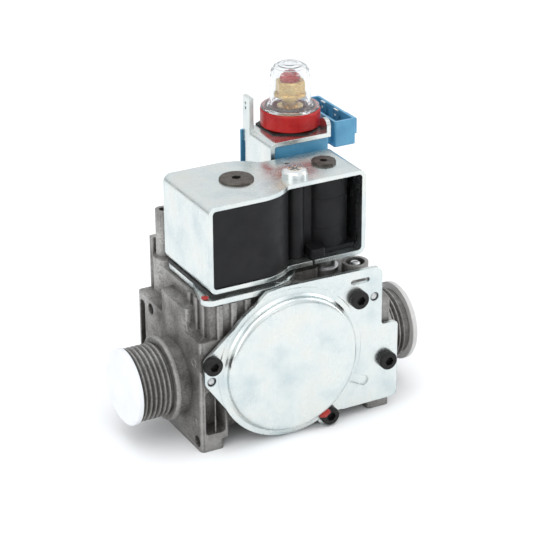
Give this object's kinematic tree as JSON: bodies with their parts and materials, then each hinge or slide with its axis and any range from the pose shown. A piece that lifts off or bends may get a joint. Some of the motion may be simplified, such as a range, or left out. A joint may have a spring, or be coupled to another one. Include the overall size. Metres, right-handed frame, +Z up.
{
  "type": "gas valve",
  "caption": "Boiler gas valve with solenoid coils under a bracket, a round diaphragm regulator, a modulator with adjusters, and threaded inlet and outlet.",
  "frame": {"origin": "on the base plane, under the middle of the flow axis", "axes": "+X along the gas flow from inlet to outlet, -Y towards the diaphragm cover, +Z up towards the modulator"},
  "size_m": [0.1124, 0.0714, 0.119],
  "materials": {
    "cast_aluminium": "sand-grey die-cast aluminium, as cast",
    "zinc_plate": "bright zinc-plated sheet",
    "zinc_screw": "bright zinc-plated steel",
    "black_steel": "blackened steel, oiled",
    "steel": "machined steel",
    "aluminium": "turned aluminium",
    "brass": "turned brass",
    "tin_plate": "tinned brass",
    "strainer_mesh": "stainless mesh",
    "rubber": "black nitrile rubber",
    "black_plastic": "black moulded plastic, satin",
    "blue_plastic": "blue moulded plastic",
    "red_plastic": "red moulded plastic",
    "red_lacquer": "red tamper lacquer",
    "clear_plastic": "clear plastic",
    "white_plastic": "white plastic",
    "natural_plastic": "natural translucent plastic"
  },
  "bodies": {
    "valve": {"valve_body": "cast_aluminium", "diaphragm_cover": "zinc_plate", "solenoid_base_plate": "zinc_plate", "coil_bracket": "zinc_plate", "modulator_bracket": "zinc_plate", "bracket_screw": "zinc_screw", "base_plate_screws": "zinc_screw", "cover_screws": "black_steel", "core_screw_left": "black_steel", "core_screw_right": "black_steel", "modulator_locknut": "black_steel", "cover_pins": "steel", "core_tube_right": "steel", "regulator_spring": "steel", "core_tube_left": "steel", "fixed_core_left": "steel", "fixed_core_right": "steel", "armature_spring_left": "steel", "armature_spring_right": "steel", "modulator_spring": "steel", "rear_plug": "aluminium", "regulator_seat": "brass", "seat_left": "brass", "seat_right": "brass", "modulator_tube": "brass", "modulator_jet": "brass", "modulator_terminals": "tin_plate", "coil_pins": "tin_plate", "inlet_strainer": "strainer_mesh", "main_diaphragm": "rubber", "rear_plug_oring": "rubber", "body_gasket": "rubber", "coil_gasket": "rubber", "tube_oring_left": "rubber", "tube_oring_right": "rubber", "coil_left": "black_plastic", "coil_right": "black_plastic", "coil_socket": "black_plastic", "modulator_coil": "blue_plastic", "modulator_connector": "blue_plastic", "adjuster_ring": "red_plastic", "cover_seal": "red_lacquer", "plate_seal": "red_lacquer"},
    "regulator": {"diaphragm_plate": "aluminium", "regulator_stem": "steel", "regulator_valve": "rubber"},
    "left_armature": {"armature_left": "steel", "seal_disc_left": "rubber"},
    "right_armature": {"armature_right": "steel", "seal_disc_right": "rubber"},
    "plunger": {"modulator_plunger": "steel"},
    "upper_adjuster": {"brass_nut": "brass"},
    "inner_adjuster": {"adjuster_screw": "red_plastic"},
    "clear_cap": {"modulator_cap": "clear_plastic"},
    "inlet_plug": {"inlet_cap": "white_plastic"},
    "outlet_plug": {"outlet_cap": "natural_plastic"},
    "outlet_test": {"outlet_test_screw": "steel"},
    "inlet_test": {"inlet_test_screw": "steel"}
  },
  "joints": [
    {"name": "regulator_slide", "type": "slide", "parent": "valve", "child": "regulator", "axis": [0, 1, 0], "range_m": [0, 0.002], "stiffness_N_per_m": 200, "springref_m": -0.003, "deforming": ["regulator_spring", "main_diaphragm"]},
    {"name": "left_armature_slide", "type": "slide", "parent": "valve", "child": "left_armature", "axis": [0, 0, 1], "range_m": [0, 0.0033], "stiffness_N_per_m": 400, "springref_m": -0.004, "deforming": ["armature_spring_left"]},
    {"name": "right_armature_slide", "type": "slide", "parent": "valve", "child": "right_armature", "axis": [0, 0, 1], "range_m": [0, 0.002], "stiffness_N_per_m": 200, "springref_m": -0.003, "deforming": ["armature_spring_right"]},
    {"name": "plunger_slide", "type": "slide", "parent": "valve", "child": "plunger", "axis": [0, 0, 1], "range_m": [0, 0.002], "stiffness_N_per_m": 120, "springref_m": -0.003, "deforming": ["modulator_spring"]},
    {"name": "upper_adjuster_turn", "type": "hinge", "parent": "valve", "child": "upper_adjuster", "pos_m": [0.0249, 0.026, 0.109], "axis": [0, 0, 1], "range_deg": [-360, 360]},
    {"name": "inner_adjuster_turn", "type": "hinge", "parent": "valve", "child": "inner_adjuster", "pos_m": [0.0249, 0.026, 0.114], "axis": [0, 0, 1], "range_deg": [-360, 360]},
    {"name": "clear_cap_lift", "type": "slide", "parent": "valve", "child": "clear_cap", "axis": [0, 0, 1], "range_m": [0, 0.03]},
    {"name": "inlet_plug_pull", "type": "slide", "parent": "valve", "child": "inlet_plug", "axis": [-1, 0, 0], "range_m": [0, 0.02]},
    {"name": "outlet_plug_pull", "type": "slide", "parent": "valve", "child": "outlet_plug", "axis": [1, 0, 0], "range_m": [0, 0.02]},
    {"name": "outlet_test_turn", "type": "hinge", "parent": "valve", "child": "outlet_test", "pos_m": [0.0326, -0.0082, 0.0505], "axis": [0, 0, 1], "range_deg": [0, 720]},
    {"name": "inlet_test_turn", "type": "hinge", "parent": "valve", "child": "inlet_test", "pos_m": [0.001, 0.0226, 0.047], "axis": [0, 0, 1], "range_deg": [0, 720]}
  ]
}
